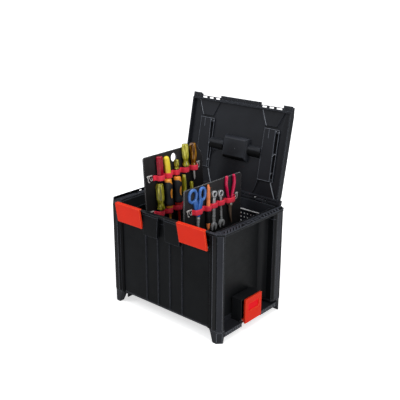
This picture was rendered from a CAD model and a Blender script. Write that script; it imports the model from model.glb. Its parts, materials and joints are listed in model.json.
import bpy, bmesh, json, math, random
from mathutils import Vector, Matrix

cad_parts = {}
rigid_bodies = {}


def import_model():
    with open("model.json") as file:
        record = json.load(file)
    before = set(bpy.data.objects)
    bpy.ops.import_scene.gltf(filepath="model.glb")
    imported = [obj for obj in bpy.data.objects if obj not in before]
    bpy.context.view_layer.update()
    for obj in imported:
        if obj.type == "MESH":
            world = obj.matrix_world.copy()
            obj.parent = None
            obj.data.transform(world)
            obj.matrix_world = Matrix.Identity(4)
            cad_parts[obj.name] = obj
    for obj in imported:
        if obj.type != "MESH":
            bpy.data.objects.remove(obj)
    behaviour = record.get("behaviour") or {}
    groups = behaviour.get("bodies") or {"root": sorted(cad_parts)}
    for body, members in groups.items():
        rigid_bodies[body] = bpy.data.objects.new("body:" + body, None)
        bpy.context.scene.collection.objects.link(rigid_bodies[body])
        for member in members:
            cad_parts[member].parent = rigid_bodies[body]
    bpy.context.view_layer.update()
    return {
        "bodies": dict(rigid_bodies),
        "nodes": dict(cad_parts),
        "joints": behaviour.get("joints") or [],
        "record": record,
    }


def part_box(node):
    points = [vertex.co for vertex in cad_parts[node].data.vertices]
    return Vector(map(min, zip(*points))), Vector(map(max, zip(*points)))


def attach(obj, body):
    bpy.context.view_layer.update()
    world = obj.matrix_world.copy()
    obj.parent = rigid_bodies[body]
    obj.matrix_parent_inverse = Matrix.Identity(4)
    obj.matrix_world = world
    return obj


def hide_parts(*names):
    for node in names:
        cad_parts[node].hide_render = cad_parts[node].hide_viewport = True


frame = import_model()
MM = 0.001
Y0 = -0.02354          # the frame's origin lies this far behind the middle of the feet
NODES = frame["nodes"]
SLOTS = {r["node"]: r["material_slot"] for r in frame["record"]["subparts"]}


# ------------------------------------------------------------------ materials
def new_mat(name):
    m = bpy.data.materials.new(name)
    m.use_nodes = True
    nt = m.node_tree
    return m, nt, nt.nodes["Principled BSDF"]


def node(nt, kind, **kw):
    n = nt.nodes.new(kind)
    for k, v in kw.items():
        if k in n.inputs.keys():
            n.inputs[k].default_value = v
        else:
            setattr(n, k, v)
    return n


def link(nt, a, ao, b, bi):
    nt.links.new(a.outputs[ao], b.inputs[bi])


def coords(nt, kind="Object", scale=(1, 1, 1)):
    tc = node(nt, "ShaderNodeTexCoord")
    mp = node(nt, "ShaderNodeMapping")
    mp.inputs["Scale"].default_value = scale
    link(nt, tc, kind, mp, "Vector")
    return mp


def bump(nt, b, heights):
    """Chains bump maps: heights is a list of (node, output, strength, distance)."""
    last = None
    for n, o, s, d in heights:
        bn = node(nt, "ShaderNodeBump")
        bn.inputs["Strength"].default_value = s
        bn.inputs["Distance"].default_value = d
        link(nt, n, o, bn, "Height")
        if last:
            link(nt, last, "Normal", bn, "Normal")
        last = bn
    link(nt, last, "Normal", b, "Normal")


def ramp(nt, stops):
    r = node(nt, "ShaderNodeValToRGB")
    el = r.color_ramp.elements
    el[0].position, el[0].color = stops[0][0], (*stops[0][1], 1)
    el[1].position, el[1].color = stops[-1][0], (*stops[-1][1], 1)
    for p, c in stops[1:-1]:
        e = el.new(p)
        e.color = (*c, 1)
    return r


def remap(nt, src, out, f0, f1, t0, t1):
    r = node(nt, "ShaderNodeMapRange")
    for k, v in (("From Min", f0), ("From Max", f1), ("To Min", t0), ("To Max", t1)):
        r.inputs[k].default_value = v
    link(nt, src, out, r, "Value")
    return r


def edge_mask(nt, radius, lo=0.997, hi=0.90):
    """1 along rounded or sharp edges, 0 on the flats: compares the normal with one rounded over the radius."""
    bv = node(nt, "ShaderNodeBevel", samples=4)
    bv.inputs["Radius"].default_value = radius
    geo = node(nt, "ShaderNodeNewGeometry")
    dot = node(nt, "ShaderNodeVectorMath", operation="DOT_PRODUCT")
    link(nt, bv, "Normal", dot, 0)
    link(nt, geo, "True Normal", dot, 1)
    return remap(nt, dot, "Value", lo, hi, 0.0, 1.0)


def plastic(name, rgb, rough=0.42, grain=0.35, grain_scale=1500.0, vary=0.25, edge=None, edge_r=0.0012, spec=0.5, coat=0.0, trans=0.0, streak=0.0):
    """Moulded plastic: fine grain, faint cloudy tone, scuffed roughness and lighter worn edges."""
    m, nt, b = new_mat(name)
    mp = coords(nt)
    cloud = node(nt, "ShaderNodeTexNoise", Scale=9.0, Detail=4.0, Roughness=0.55)
    link(nt, mp, "Vector", cloud, "Vector")
    tone = ramp(nt, [(0.3, tuple(c * (1 - vary) for c in rgb)), (0.7, tuple(min(1, c * (1 + vary)) for c in rgb))])
    link(nt, cloud, "Fac", tone, "Fac")
    scuff = node(nt, "ShaderNodeTexNoise", Scale=38.0, Detail=6.0, Roughness=0.7)
    link(nt, mp, "Vector", scuff, "Vector")
    if edge:
        em = edge_mask(nt, edge_r)
        worn = node(nt, "ShaderNodeMath", operation="MULTIPLY")
        link(nt, em, "Result", worn, 0)
        link(nt, remap(nt, scuff, "Fac", 0.25, 0.6, 0.55, 1.0), "Result", worn, 1)
        mx = node(nt, "ShaderNodeMix", data_type="RGBA")
        link(nt, worn, "Value", mx, "Factor")
        nt.links.new(tone.outputs["Color"], mx.inputs[6])
        mx.inputs[7].default_value = (*edge, 1)
        nt.links.new(mx.outputs[2], b.inputs["Base Color"])
    else:
        link(nt, tone, "Color", b, "Base Color")
    link(nt, remap(nt, scuff, "Fac", 0.2, 0.8, rough - 0.08, rough + 0.12), "Result", b, "Roughness")
    b.inputs["Specular IOR Level"].default_value = spec
    b.inputs["Coat Weight"].default_value = coat
    b.inputs["Coat Roughness"].default_value = 0.12
    b.inputs["Transmission Weight"].default_value = trans
    fine = node(nt, "ShaderNodeTexNoise", Scale=grain_scale, Detail=2.0, Roughness=0.6)
    link(nt, mp, "Vector", fine, "Vector")
    wave = node(nt, "ShaderNodeTexNoise", Scale=14.0, Detail=1.0)
    link(nt, mp, "Vector", wave, "Vector")
    bump(nt, b, [(wave, "Fac", 0.25, 0.0012), (fine, "Fac", grain, 0.00025)])
    return m


def metal(name, rgb, rough, stripe=(300, 300, 12), mix=0.9):
    """Steel with drawn-out brush marks, blotchy roughness and small pits."""
    m, nt, b = new_mat(name)
    mp = coords(nt)
    b.inputs["Metallic"].default_value = mix
    n = node(nt, "ShaderNodeTexNoise", Scale=70.0, Detail=5.0, Roughness=0.6)
    link(nt, mp, "Vector", n, "Vector")
    t = ramp(nt, [(0.3, tuple(c * 0.75 for c in rgb)), (0.7, rgb)])
    link(nt, n, "Fac", t, "Fac")
    link(nt, t, "Color", b, "Base Color")
    link(nt, remap(nt, n, "Fac", 0.2, 0.8, rough * 0.7, rough * 1.5), "Result", b, "Roughness")
    ms = coords(nt, scale=stripe)
    g = node(nt, "ShaderNodeTexNoise", Scale=6.0, Detail=3.0)
    link(nt, ms, "Vector", g, "Vector")
    bump(nt, b, [(g, "Fac", 0.12, 0.0002), (n, "Fac", 0.05, 0.0003)])
    return m


def webbing(name, rgb):
    """Woven elastic: ribs across the width, a fine weave along it, both from the band's own UVs in millimetres."""
    m, nt, b = new_mat(name)
    mp = coords(nt, "UV")
    ribs = node(nt, "ShaderNodeTexWave", wave_type="BANDS", bands_direction="X", Scale=0.55, Distortion=0.4, Detail=1.0)
    cross = node(nt, "ShaderNodeTexWave", wave_type="BANDS", bands_direction="Y", Scale=0.42, Distortion=0.3, Detail=1.0)
    fuzz = node(nt, "ShaderNodeTexNoise", Scale=2.6, Detail=4.0)
    for n in (ribs, cross, fuzz):
        link(nt, mp, "Vector", n, "Vector")
    w = node(nt, "ShaderNodeMath", operation="MULTIPLY")
    link(nt, ribs, "Fac", w, 0)
    link(nt, cross, "Fac", w, 1)
    t = ramp(nt, [(0.0, tuple(c * 0.86 for c in rgb)), (0.5, rgb), (1.0, tuple(min(1, c * 1.2 + 0.01) for c in rgb))])
    link(nt, w, "Value", t, "Fac")
    link(nt, t, "Color", b, "Base Color")
    b.inputs["Roughness"].default_value = 0.72
    b.inputs["Sheen Weight"].default_value = 0.1
    b.inputs["Sheen Roughness"].default_value = 0.4
    bump(nt, b, [(w, "Value", 0.35, 0.0003), (fuzz, "Fac", 0.15, 0.0002)])
    return m


M = {}
M["black_plastic"] = plastic("black_plastic", (0.0046, 0.0053, 0.0062), 0.47, edge=(0.100, 0.110, 0.135), edge_r=0.0013, spec=0.15)
M["edge_plastic"] = plastic("edge_plastic", (0.070, 0.076, 0.092), 0.36, edge=(0.20, 0.215, 0.25), edge_r=0.0006, spec=0.35)
M["bright_edge"] = plastic("bright_edge", (0.20, 0.215, 0.25), 0.34, edge=(0.42, 0.44, 0.48), edge_r=0.0006, spec=0.4)
M["facet_plastic"] = plastic("facet_plastic", (0.0145, 0.0158, 0.0215), 0.44, edge=(0.10, 0.11, 0.135), edge_r=0.0006, spec=0.2)
M["plain_black"] = plastic("plain_black", (0.0046, 0.0050, 0.0056), 0.5, spec=0.15)
M["housing_plastic"] = plastic("housing_plastic", (0.0105, 0.0114, 0.0130), 0.5, spec=0.15)
M["wall_plastic"] = plastic("wall_plastic", (0.0046, 0.0053, 0.0062), 0.47, edge=(0.100, 0.110, 0.135), edge_r=0.0013, spec=0.15)
M["lid_plastic"] = plastic("lid_plastic", (0.0118, 0.0130, 0.0166), 0.47, edge=(0.090, 0.100, 0.125), edge_r=0.0012, spec=0.15)
M["apron_plastic"] = plastic("apron_plastic", (0.026, 0.029, 0.036), 0.5, spec=0.15)
M["skirt_plastic"] = plastic("skirt_plastic", (0.0150, 0.0165, 0.0210), 0.5, spec=0.12)
M["tray_plastic"] = plastic("tray_plastic", (0.017, 0.018, 0.022), 0.5, spec=0.15)
M["rib_plastic"] = plastic("rib_plastic", (0.052, 0.056, 0.068), 0.42, spec=0.2)
M["shade_plastic"] = plastic("shade_plastic", (0.0035, 0.0037, 0.0042), 0.6, spec=0.06)
M["liner_plastic"] = plastic("liner_plastic", (0.016, 0.018, 0.024), 0.5, spec=0.15)
M["liner_stud"] = plastic("liner_stud", (0.95, 0.96, 1.0), 0.35, spec=0.4)
M["board_plastic"] = plastic("board_plastic", (0.0175, 0.0168, 0.0178), 0.48, grain=0.2, edge=(0.36, 0.37, 0.38), edge_r=0.0010, spec=0.16)
M["red_orange_plastic"] = plastic("red_orange_plastic", (0.70, 0.024, 0.008), 0.42, vary=0.05, edge=(1.0, 0.15, 0.055), edge_r=0.0018, spec=0.06)
M["recess_red"] = plastic("recess_red", (0.80, 0.004, 0.012), 0.45, vary=0.05, spec=0.05)
M["dark_red_grip"] = plastic("dark_red_grip", (0.34, 0.0012, 0.016), 0.20, grain=0.06, vary=0.15, coat=0.12, spec=0.3, edge=(0.75, 0.05, 0.10), edge_r=0.0016)
M["yellow_grip"] = plastic("yellow_grip", (1.0, 0.74, 0.050), 0.28, grain=0.08, vary=0.05, coat=0.15, spec=0.3)
M["insulated_grip"] = plastic("insulated_grip", (0.017, 0.018, 0.021), 0.55, grain=0.5, vary=0.2)
M["grip_orange"] = plastic("grip_orange", (1.0, 0.36, 0.035), 0.30, grain=0.1, vary=0.06, coat=0.2, edge=(1.0, 0.55, 0.16), edge_r=0.0016)
M["grip_red"] = plastic("grip_red", (0.70, 0.035, 0.020), 0.32, grain=0.1, vary=0.06, coat=0.3)
M["blue_grip"] = plastic("blue_grip", (0.036, 0.140, 0.47), 0.28, grain=0.12, vary=0.08, coat=0.2, edge=(0.16, 0.34, 0.72), edge_r=0.002)
M["orange_barrel"] = plastic("orange_barrel", (1.0, 0.27, 0.085), 0.30, grain=0.08, vary=0.06, coat=0.15)
M["black_grip"] = plastic("black_grip", (0.012, 0.012, 0.013), 0.35, grain=0.2)
M["magenta_grip"] = plastic("magenta_grip", (0.66, 0.006, 0.075), 0.24, grain=0.06, vary=0.08, coat=0.25)


def matt_towards_front(m, low):
    """The wide front wall is the most matt face of the case: less sheen where the surface looks straight forward."""
    nt = m.node_tree
    b = next(n for n in nt.nodes if n.type == "BSDF_PRINCIPLED")
    g = node(nt, "ShaderNodeNewGeometry")
    sp = node(nt, "ShaderNodeSeparateXYZ")
    link(nt, g, "Normal", sp, "Vector")
    link(nt, remap(nt, sp, "Y", -0.98, -0.80, low, b.inputs["Specular IOR Level"].default_value), "Result", b, "Specular IOR Level")


matt_towards_front(M["wall_plastic"], 0.06)


def lighter_upwards(m, z0, z1, low, high):
    """The boards are dustier towards their upper edge."""
    nt = m.node_tree
    b = next(n for n in nt.nodes if n.type == "BSDF_PRINCIPLED")
    source = b.inputs["Base Color"].links[0].from_socket
    tc = node(nt, "ShaderNodeTexCoord")
    sp = node(nt, "ShaderNodeSeparateXYZ")
    nt.links.new(tc.outputs["Generated"], sp.inputs[0])
    vm = node(nt, "ShaderNodeVectorMath", operation="SCALE")
    nt.links.new(source, vm.inputs[0])
    nt.links.new(remap(nt, sp, "Z", z0, z1, low, high).outputs["Result"], vm.inputs["Scale"])
    nt.links.new(vm.outputs["Vector"], b.inputs["Base Color"])


lighter_upwards(M["board_plastic"], 0.50, 0.90, 0.60, 1.55)


def acetate(name, dark, body, bright):
    """Clear coloured handle plastic: deep streaks that follow the flutes, a bright core, glossy skin and some real transmission."""
    m, nt, b = new_mat(name)
    mp = coords(nt, scale=(230, 230, 26))
    st = node(nt, "ShaderNodeTexNoise", Scale=1.0, Detail=2.0, Roughness=0.5, Distortion=0.4)
    link(nt, mp, "Vector", st, "Vector")
    t = ramp(nt, [(0.36, dark), (0.50, body), (0.62, bright)])
    link(nt, st, "Fac", t, "Fac")
    lw = node(nt, "ShaderNodeLayerWeight", Blend=0.35)
    mx = node(nt, "ShaderNodeMix", data_type="RGBA")
    link(nt, lw, "Facing", mx, "Factor")
    nt.links.new(t.outputs["Color"], mx.inputs[6])
    mx.inputs[7].default_value = (*tuple(c * 0.35 for c in body), 1)
    nt.links.new(mx.outputs[2], b.inputs["Base Color"])
    b.inputs["Roughness"].default_value = 0.09
    b.inputs["Transmission Weight"].default_value = 0.22
    b.inputs["IOR"].default_value = 1.47
    b.inputs["Coat Weight"].default_value = 0.35
    b.inputs["Coat Roughness"].default_value = 0.05
    fine = node(nt, "ShaderNodeTexNoise", Scale=220.0, Detail=2.0)
    mo = coords(nt)
    link(nt, mo, "Vector", fine, "Vector")
    bump(nt, b, [(st, "Fac", 0.25, 0.0006), (fine, "Fac", 0.05, 0.0002)])
    return m


M["olive_acetate"] = acetate("olive_acetate", (0.10, 0.085, 0.003), (0.38, 0.34, 0.012), (0.88, 0.80, 0.12))
M["lime_acetate"] = acetate("lime_acetate", (0.20, 0.18, 0.005), (0.62, 0.56, 0.025), (1.0, 0.93, 0.20))
M["amber_acetate"] = acetate("amber_acetate", (0.06, 0.018, 0.001), (0.26, 0.090, 0.004), (0.70, 0.34, 0.015))
M["plated_steel"] = metal("plated_steel", (0.86, 0.84, 0.82), 0.28, mix=0.45)
M["chrome_steel"] = metal("chrome_steel", (0.80, 0.82, 0.84), 0.24, mix=0.62)
M["pin_steel"] = metal("pin_steel", (0.26, 0.26, 0.27), 0.38, mix=0.5)
M["jaw_steel"] = metal("jaw_steel", (0.20, 0.135, 0.095), 0.40, mix=0.35)
M["strap_webbing"] = webbing("strap_webbing", (1.0, 0.030, 0.072))
M["thread"] = plastic("thread", (0.55, 0.008, 0.035), 0.8, grain=0.5)


# ------------------------------------------------------------------ shape tools (millimetres)
F_CASE = Matrix.Translation((0, Y0, 0))
F_LID = Matrix.Translation((0, 0.148 + Y0, 0.336)) @ Matrix.Rotation(math.radians(78.7), 4, "X")
F_LEFT = Matrix.Translation((-0.074, Y0, 0.3326)) @ Matrix.Rotation(math.radians(-4), 4, "Y")
F_RIGHT = Matrix.Translation((0.074, Y0, 0.3326))
FRAMES = {"case": F_CASE, "lid": F_LID, "left_board": F_LEFT, "right_board": F_RIGHT}
PLANES = {
    "XY": Matrix.Identity(4),
    "XZ": Matrix(((1, 0, 0, 0), (0, 0, -1, 0), (0, 1, 0, 0), (0, 0, 0, 1))),
    "YZ": Matrix(((0, 0, 1, 0), (1, 0, 0, 0), (0, 1, 0, 0), (0, 0, 0, 1))),
}


def finish_piece(name, bm, mats, body, slot, frame=None, smooth=32, stands=()):
    """One visual piece: millimetres to metres, out of its own frame, then onto its body."""
    me = bpy.data.meshes.new(name)
    bmesh.ops.recalc_face_normals(bm, faces=bm.faces)
    bm.to_mesh(me)
    bm.free()
    me.transform(Matrix.Scale(MM, 4))
    me.transform(FRAMES[body] if frame is None else frame)
    for m in mats if isinstance(mats, (list, tuple)) else [mats]:
        me.materials.append(M[m])
    ob = bpy.data.objects.new(name, me)
    bpy.context.scene.collection.objects.link(ob)
    me.shade_smooth()
    me.set_sharp_from_angle(angle=math.radians(smooth))
    if smooth <= 32:
        wn = ob.modifiers.new("flat_normals", "WEIGHTED_NORMAL")
        wn.keep_sharp = True
        wn.weight = 80
    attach(ob, body)
    if stands:
        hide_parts(*stands)
    return ob


def merge(*bms):
    """Several shapes as one mesh, in the order given; materials keep each face's own index."""
    out = bmesh.new()
    uv = out.loops.layers.uv.new("UVMap")
    for b in bms:
        me = bpy.data.meshes.new("part")
        b.to_mesh(me)
        b.free()
        out.from_mesh(me)
        bpy.data.meshes.remove(me)
    return out


def painted(bm, index):
    for f in bm.faces:
        f.material_index = index
    return bm


def placed(bm, m):
    bmesh.ops.transform(bm, matrix=m, verts=bm.verts)
    return bm


def moved(bm, x=0, y=0, z=0):
    return placed(bm, Matrix.Translation((x, y, z)))


def mirrored(bm):
    bmesh.ops.transform(bm, matrix=Matrix.Scale(-1, 4, (1, 0, 0)), verts=bm.verts)
    bmesh.ops.reverse_faces(bm, faces=bm.faces)
    return bm


def round_edges(bm, width, segments=2, angle=25, keep=None):
    sharp = [e for e in bm.edges if len(e.link_faces) == 2 and e.calc_face_angle(0) > math.radians(angle) and (keep is None or keep(e))]
    if width and sharp:
        bmesh.ops.bevel(bm, geom=sharp, offset=width, offset_type="OFFSET", segments=segments, profile=0.5, affect="EDGES", clamp_overlap=True)
    return bm


def plate(outlines, lo, hi, plane="XY", bevel=0.6, segments=2, keep=None):
    """A flat plate with rounded edges; the first outline is its outside, the rest are holes."""
    cu = bpy.data.curves.new("outline", "CURVE")
    cu.dimensions = "2D"
    cu.fill_mode = "BOTH"
    cu.extrude = (hi - lo) / 2
    for pts in outlines:
        sp = cu.splines.new("POLY")
        sp.points.add(len(pts) - 1)
        for p, (a, b) in zip(sp.points, pts):
            p.co = (a, b, 0, 1)
        sp.use_cyclic_u = True
    ob = bpy.data.objects.new("outline", cu)
    bpy.context.scene.collection.objects.link(ob)
    bpy.context.view_layer.update()
    me = bpy.data.meshes.new_from_object(ob.evaluated_get(bpy.context.evaluated_depsgraph_get()))
    bm = bmesh.new()
    bm.from_mesh(me)
    bpy.data.objects.remove(ob)
    bpy.data.curves.remove(cu)
    bpy.data.meshes.remove(me)
    bmesh.ops.remove_doubles(bm, verts=bm.verts, dist=0.001)
    bmesh.ops.dissolve_limit(bm, angle_limit=0.01, verts=bm.verts, edges=bm.edges)
    bmesh.ops.recalc_face_normals(bm, faces=bm.faces)
    round_edges(bm, bevel, segments, keep=keep)
    mid = (lo + hi) / 2
    shift = {"XY": (0, 0, mid), "XZ": (0, mid, 0), "YZ": (mid, 0, 0)}[plane]
    return placed(bm, Matrix.Translation(shift) @ PLANES[plane])


def block(x0, x1, y0, y1, z0, z1, bevel=0.6, segments=2, keep=None):
    bm = bmesh.new()
    bmesh.ops.create_cube(bm, size=1.0)
    for v in bm.verts:
        v.co = Vector((x0 if v.co.x < 0 else x1, y0 if v.co.y < 0 else y1, z0 if v.co.z < 0 else z1))
    return round_edges(bm, bevel, segments, keep=keep)


def lathe(profile, sides=40, shape=None):
    """Rings of (radius, height) from the top down; shape(angle, share, radius) may change each point's radius."""
    bm = bmesh.new()
    rings = []
    h0, h1 = profile[0][1], profile[-1][1]
    for r, h in profile:
        if r < 1e-6:
            rings.append([bm.verts.new((0, 0, h))])
            continue
        t = (h0 - h) / ((h0 - h1) or 1.0)
        row = []
        for k in range(sides):
            a = 2 * math.pi * k / sides
            q = shape(a, t, r) if shape else r
            row.append(bm.verts.new((q * math.cos(a), q * math.sin(a), h)))
        rings.append(row)
    for a, b in zip(rings, rings[1:]):
        for k in range(sides):
            k2 = (k + 1) % sides
            if len(a) == 1:
                bm.faces.new((a[0], b[k], b[k2]))
            elif len(b) == 1:
                bm.faces.new((a[k], b[0], a[k2]))
            else:
                bm.faces.new((a[k], b[k], b[k2], a[k2]))
    bmesh.ops.recalc_face_normals(bm, faces=bm.faces)
    return bm


def smooth_profile(points, steps=5):
    """A profile through the given points, rounded by a Catmull-Rom spline."""
    out = []
    n = len(points)
    for i in range(n - 1):
        p0, p1, p2, p3 = (Vector(points[max(0, min(n - 1, i + d))]) for d in (-1, 0, 1, 2))
        for s in range(steps):
            t = s / steps
            out.append(0.5 * ((2 * p1) + (p2 - p0) * t + (2 * p0 - 5 * p1 + 4 * p2 - p3) * t * t + (3 * p1 - p0 - 3 * p2 + p3) * t ** 3))
    out.append(Vector(points[-1]))
    return [(max(0.0, p[0]), p[1]) for p in out]


def spline(points, steps=6, closed=False):
    pts = [Vector(p) for p in points]
    n = len(pts)
    out = []
    for i in range(n if closed else n - 1):
        if closed:
            p0, p1, p2, p3 = (pts[(i + d) % n] for d in (-1, 0, 1, 2))
        else:
            p0, p1, p2, p3 = (pts[max(0, min(n - 1, i + d))] for d in (-1, 0, 1, 2))
        for s in range(steps):
            t = s / steps
            out.append(0.5 * ((2 * p1) + (p2 - p0) * t + (2 * p0 - 5 * p1 + 4 * p2 - p3) * t * t + (3 * p1 - p0 - 3 * p2 + p3) * t ** 3))
    if not closed:
        out.append(pts[-1])
    return out


def sweep(path, section, closed=False, up=(1, 0, 0), scale=None, domed=True):
    """A closed section of (a, b) points carried along a path; a runs along `up`, b across it."""
    bm = bmesh.new()
    n = len(path)
    rings = []
    up = Vector(up).normalized()
    for i, p in enumerate(path):
        d = (path[(i + 1) % n] - path[i - 1]) if closed else (path[min(n - 1, i + 1)] - path[max(0, i - 1)])
        d.normalize()
        side = d.cross(up).normalized()
        top = side.cross(d).normalized()
        k = scale(i / (n - 1)) if scale else 1.0
        rings.append([bm.verts.new(p + top * a * k + side * b * k) for a, b in section])
    m = len(section)
    pairs = list(zip(rings, rings[1:])) + ([(rings[-1], rings[0])] if closed else [])
    for a, b in pairs:
        for k in range(m):
            bm.faces.new((a[k], a[(k + 1) % m], b[(k + 1) % m], b[k]))
    if not closed:
        for row, p, q in ((rings[0], path[0], path[1]), (rings[-1], path[-1], path[-2])):
            d = (p - q).normalized()
            size = max(math.hypot(a, b) for a, b in section) * (0.55 if domed else 0.0)
            cap = bm.verts.new(p + d * size)
            mid = [bm.verts.new(p + (v.co - p) * 0.72 + d * size * 0.72) for v in row] if domed else row
            if domed:
                for k in range(m):
                    bm.faces.new((row[k], row[(k + 1) % m], mid[(k + 1) % m], mid[k]))
            for k in range(m):
                bm.faces.new((mid[k], mid[(k + 1) % m], cap))
    bmesh.ops.recalc_face_normals(bm, faces=bm.faces)
    return bm


def ellipse(a, b, n=12):
    return [(a * math.cos(2 * math.pi * k / n), b * math.sin(2 * math.pi * k / n)) for k in range(n)]


def capsule(p0, p1, r, n=10):
    return sweep([Vector(p0), (Vector(p0) + Vector(p1)) / 2, Vector(p1)], ellipse(r, r, n), up=(0.3, 0.2, 0.9) if abs((Vector(p1) - Vector(p0)).normalized().z) < 0.9 else (1, 0, 0))


def band(path, width, thick, z):
    """Webbing: a rounded band that runs along a path in X and Y with its width along Z; UVs are in millimetres."""
    bm = bmesh.new()
    uv = bm.loops.layers.uv.new("UVMap")
    hw, ht, c = width / 2, thick / 2, thick * 0.35
    section = [(-hw, -ht + c), (-hw + c, -ht), (-hw * 0.4, -ht * 1.12), (hw * 0.4, -ht * 1.12), (hw - c, -ht), (hw, -ht + c), (hw, ht - c), (hw - c, ht), (hw * 0.4, ht * 1.12), (-hw * 0.4, ht * 1.12), (-hw + c, ht), (-hw, ht - c)]
    across = [0.0]
    for a, b in zip(section, section[1:] + section[:1]):
        across.append(across[-1] + math.hypot(a[0] - b[0], a[1] - b[1]))
    pts = [Vector((x, y, 0)) for x, y in path]
    rings, run = [], [0.0]
    for i, p in enumerate(pts):
        if i:
            run.append(run[-1] + (p - pts[i - 1]).length)
        a = (pts[min(i + 1, len(pts) - 1)] - p)
        b = (p - pts[max(i - 1, 0)])
        a = a.normalized() if a.length > 1e-6 else b.normalized()
        b = b.normalized() if b.length > 1e-6 else a
        d = (a + b).normalized()
        nrm = Vector((d.y, -d.x, 0))
        k = 1.0 / max(0.6, nrm.dot(Vector((a.y, -a.x, 0))))
        rings.append([bm.verts.new(p + nrm * t * k + Vector((0, 0, z + w))) for w, t in section])
    m = len(section)
    for i, (r0, r1) in enumerate(zip(rings, rings[1:])):
        for k in range(m):
            f = bm.faces.new((r0[k], r0[(k + 1) % m], r1[(k + 1) % m], r1[k]))
            for lp, (u, v) in zip(f.loops, ((run[i], across[k]), (run[i], across[k + 1]), (run[i + 1], across[k + 1]), (run[i + 1], across[k]))):
                lp[uv].uv = (u, v)
    for r in (rings[0], rings[-1]):
        bm.faces.new(r)
    bmesh.ops.recalc_face_normals(bm, faces=bm.faces)
    return bm


# ------------------------------------------------------------------ CAD nodes that stay: finish and rounded edges
TOOLS = [n for n in NODES if n.startswith(("screwdriver_", "strap_", "scissors_", "wrench_", "pliers_", "marker"))]
ROUND = {"body_shell": 0.7, "top_frame": 0.6, "base_tray": 0.6, "latch_plate_left": 0.9, "latch_plate_right": 0.9, "lid_shell": 0.6,
         "stacking_housing_left": 1.2, "stacking_housing_right": 1.2, "stacking_lever_left": 0.9, "stacking_lever_right": 0.9,
         "latch_left": 1.3, "latch_right": 1.3, "tool_board_left": 0.8, "tool_board_right": 0.8}
for name, ob in NODES.items():
    ob.data.materials.clear()
    ob.data.materials.append(M[SLOTS[name]])
    if name.startswith("stacking_housing"):
        ob.data.materials.clear()
        ob.data.materials.append(M["housing_plastic"])
    look = {"body_shell": "wall_plastic", "top_frame": "wall_plastic", "latch_plate_left": "wall_plastic", "latch_plate_right": "wall_plastic", "lid_shell": "lid_plastic", "base_tray": "tray_plastic"}.get(name)
    if look:
        ob.data.materials.clear()
        ob.data.materials.append(M[look])
    if "_pin_" in name:
        ob.data.materials.clear()
        ob.data.materials.append(M["pin_steel"])
    if name in ROUND:
        w = ob.modifiers.new("weld", "WELD")
        w.merge_threshold = 0.00002
        d = ob.modifiers.new("flats", "DECIMATE")
        d.decimate_type = "DISSOLVE"
        d.angle_limit = math.radians(0.6)
        b = ob.modifiers.new("edges", "BEVEL")
        b.width = ROUND[name] * MM
        b.segments = 2
        b.limit_method = "ANGLE"
        b.angle_limit = math.radians(30)
        b.use_clamp_overlap = True

FACE, RIM = 2.0, 332.6
UP_Z, LOW_Z, R_Z = 422 - RIM, 314 - RIM, 353 - RIM


# ------------------------------------------------------------------ screwdrivers
def fluted(count, depth, t0, t1, sharp=1.6):
    def shape(a, t, r):
        if t0 < t < t1:
            k = min(1.0, (t - t0) / 0.06, (t1 - t) / 0.06)
            return r * (1 - depth * max(0.0, k) * max(0.0, math.cos(a * count)) ** sharp)
        return r
    return shape


def facets(count, amount, t0, t1):
    def shape(a, t, r):
        k = max(0.0, min(1.0, (t - t0) / 0.08, (t1 - t) / 0.08))
        q = math.pi / count
        f = math.cos(q) / math.cos((a % (2 * q)) - q)
        return r * (1 - k * amount + k * amount * f)
    return shape


ACETATE = [(0.0, 0.0), (0.58, 0.0), (0.76, 0.012), (0.90, 0.045), (0.97, 0.10), (0.98, 0.2), (0.98, 0.52), (0.93, 0.61), (0.78, 0.69), (0.72, 0.745), (0.80, 0.81), (0.95, 0.88), (1.0, 0.925), (0.90, 0.965), (0.66, 0.99), (0.0, 1.0)]
PLAIN = [(0.0, 0.0), (0.66, 0.0), (0.84, 0.015), (0.95, 0.06), (1.0, 0.14), (1.0, 0.55), (0.96, 0.75), (0.90, 0.9), (0.82, 0.97), (0.6, 1.0), (0.0, 1.0)]
SLENDER = [(0.0, 0.0), (0.35, 0.004), (0.62, 0.03), (0.82, 0.09), (0.94, 0.2), (1.0, 0.38), (0.98, 0.6), (0.90, 0.8), (0.86, 0.93), (0.7, 0.99), (0.0, 1.0)]
PADDED = [(0.0, 0.0), (0.60, 0.0), (0.80, 0.014), (0.90, 0.05), (0.94, 0.10), (0.99, 0.20), (1.0, 0.30), (0.93, 0.45), (0.86, 0.58), (0.87, 0.68), (0.97, 0.79), (1.0, 0.86), (0.92, 0.91), (0.86, 0.935), (0.86, 0.985), (0.70, 1.0), (0.0, 1.0)]


def handle(kind, r, top, bottom, shape=None, sides=48):
    prof = smooth_profile([(a * r, top - t * (top - bottom)) for a, t in kind[1:-1]], 4)
    prof = [(0.0, prof[0][1])] + prof + [(0.0, prof[-1][1])]
    return lathe(prof, sides, shape)


def blade(shaft, start, tip, flat=True):
    prof = [(0.0, start), (shaft, start), (shaft, tip + 9), (shaft * 0.98, tip + 7), (shaft * 1.05, tip + 4), (shaft * 0.92, tip + 0.6), (shaft * 0.8, tip), (0.0, tip)]
    bm = lathe(prof, 20)
    for v in bm.verts:
        if v.co.z < tip + 8.5:
            k = min(1.0, (tip + 8.5 - v.co.z) / 7)
            if flat:
                v.co.x *= 1 - 0.82 * k
            else:
                v.co.x *= 1 - 0.5 * k
                v.co.y *= 1 - 0.5 * k
    return bm


def seat(bm, y, r, lean=0.0, about=0.0, turn=0.0):
    """Stands a tool on its board's face: y along the board, lean in degrees towards the front, about a height."""
    m = Matrix.Translation((FACE + 0.5 + r, y, 0)) @ Matrix.Translation((0, 0, about)) @ Matrix.Rotation(math.radians(lean), 4, "X") @ Matrix.Translation((0, 0, -about)) @ Matrix.Rotation(math.radians(turn), 4, "Z")
    return placed(bm, m)


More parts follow.
